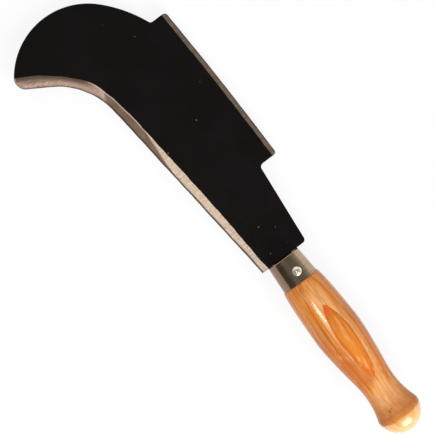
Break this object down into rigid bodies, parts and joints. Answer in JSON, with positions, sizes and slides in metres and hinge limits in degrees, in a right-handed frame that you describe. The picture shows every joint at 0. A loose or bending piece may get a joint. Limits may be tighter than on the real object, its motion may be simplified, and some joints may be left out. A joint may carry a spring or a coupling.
{
  "type": "billhook",
  "caption": "Hand billhook with a hooked, double-edged black steel blade, ground cutting edges, a riveted steel ferrule and a turned, varnished wooden handle with a domed end.",
  "frame": {"origin": "on the handle axis, at the thickest part of the grip, where the hand holds it", "axes": "+X along the handle axis towards the nose of the blade, +Y towards the main cutting edge, +Z square to the blade, up when it lies flat"},
  "size_m": [0.4161, 0.1261, 0.038],
  "materials": {
    "blade": "black lacquer over forged steel, with bare ground edges",
    "ferrule": "drawn steel tube, lightly brushed",
    "rivet": "bright steel, hammered dome",
    "handle": "turned ash, orange varnish",
    "butt_cap": "pale turned wood under clear gloss lacquer"
  },
  "bodies": {
    "root": {"blade": "blade", "ferrule": "ferrule", "ferrule_rivet": "rivet", "handle": "handle", "butt_cap": "butt_cap"}
  },
  "joints": []
}
